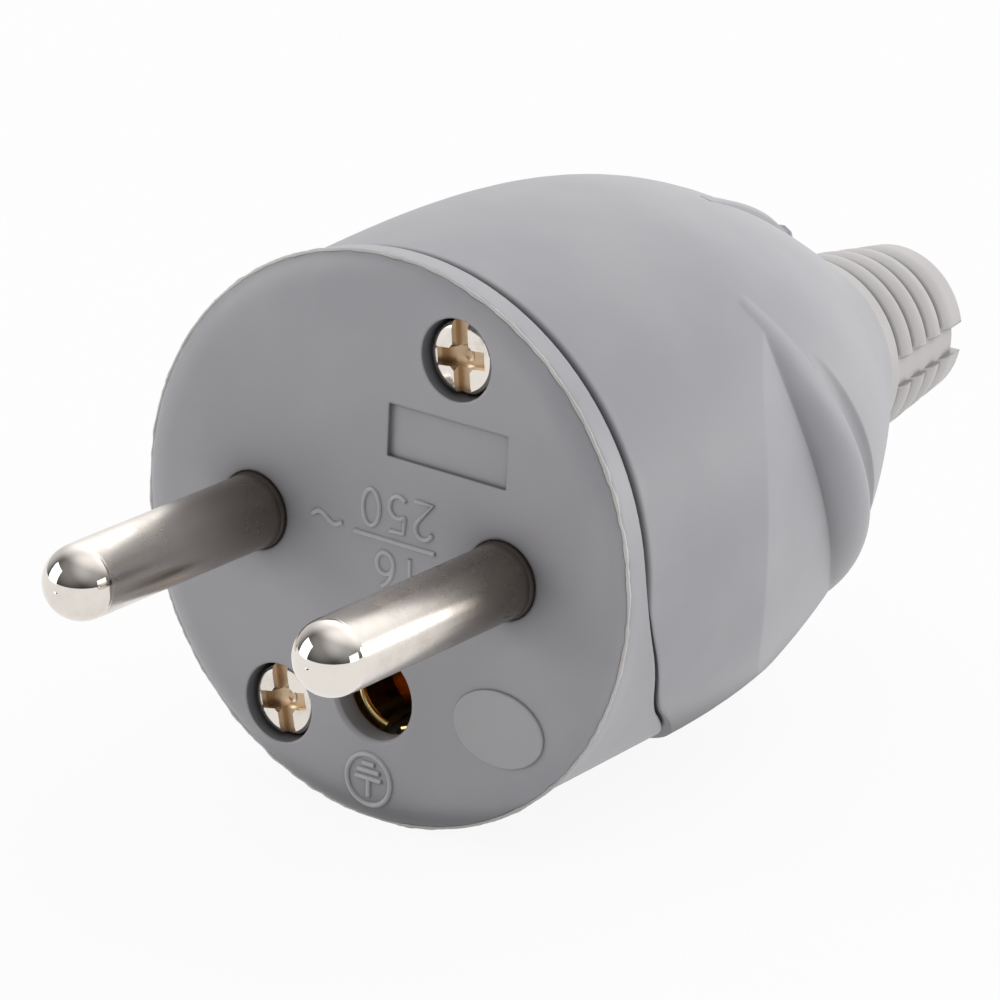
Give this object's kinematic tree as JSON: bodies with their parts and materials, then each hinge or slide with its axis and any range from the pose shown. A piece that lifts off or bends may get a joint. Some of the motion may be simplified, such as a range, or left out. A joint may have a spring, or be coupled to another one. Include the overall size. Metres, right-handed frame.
{
  "type": "electrical plug",
  "caption": "Rewirable mains plug with round pins, an earth contact hole, a screwed rear cover with finger grips and a ribbed bend relief for the cable.",
  "frame": {"origin": "centre of the engagement face, midway between the two pins on the plug's axis", "axes": "+Y back along the axis to the cable, pins along -Y, +X along the line of the pins, earth hole at -Z"},
  "size_m": [0.0368, 0.078, 0.0368],
  "materials": {
    "grey_shell": "satin moulded",
    "soft_sleeve": "soft satin",
    "inner_plastic": "moulded",
    "plated_brass": "nickel plated",
    "plated_steel": "nickel plated",
    "spring_brass": "bright strip"
  },
  "bodies": {
    "root": {"pin_carrier": "grey_shell", "rear_cover": "grey_shell", "bend_relief_sleeve": "soft_sleeve", "left_pin": "plated_brass", "right_pin": "plated_brass", "left_terminal_screw": "plated_steel", "right_terminal_screw": "plated_steel", "earth_contact": "spring_brass", "earth_clamp_washer": "plated_steel", "earth_terminal_screw": "plated_steel", "contact_retainer": "inner_plastic", "retainer_screw": "plated_steel", "cord_clamp_bar": "inner_plastic", "left_clamp_screw": "plated_steel", "right_clamp_screw": "plated_steel", "upper_assembly_screw": "plated_steel", "upper_cover_insert": "spring_brass", "lower_assembly_screw": "plated_steel", "lower_cover_insert": "spring_brass"}
  },
  "joints": []
}
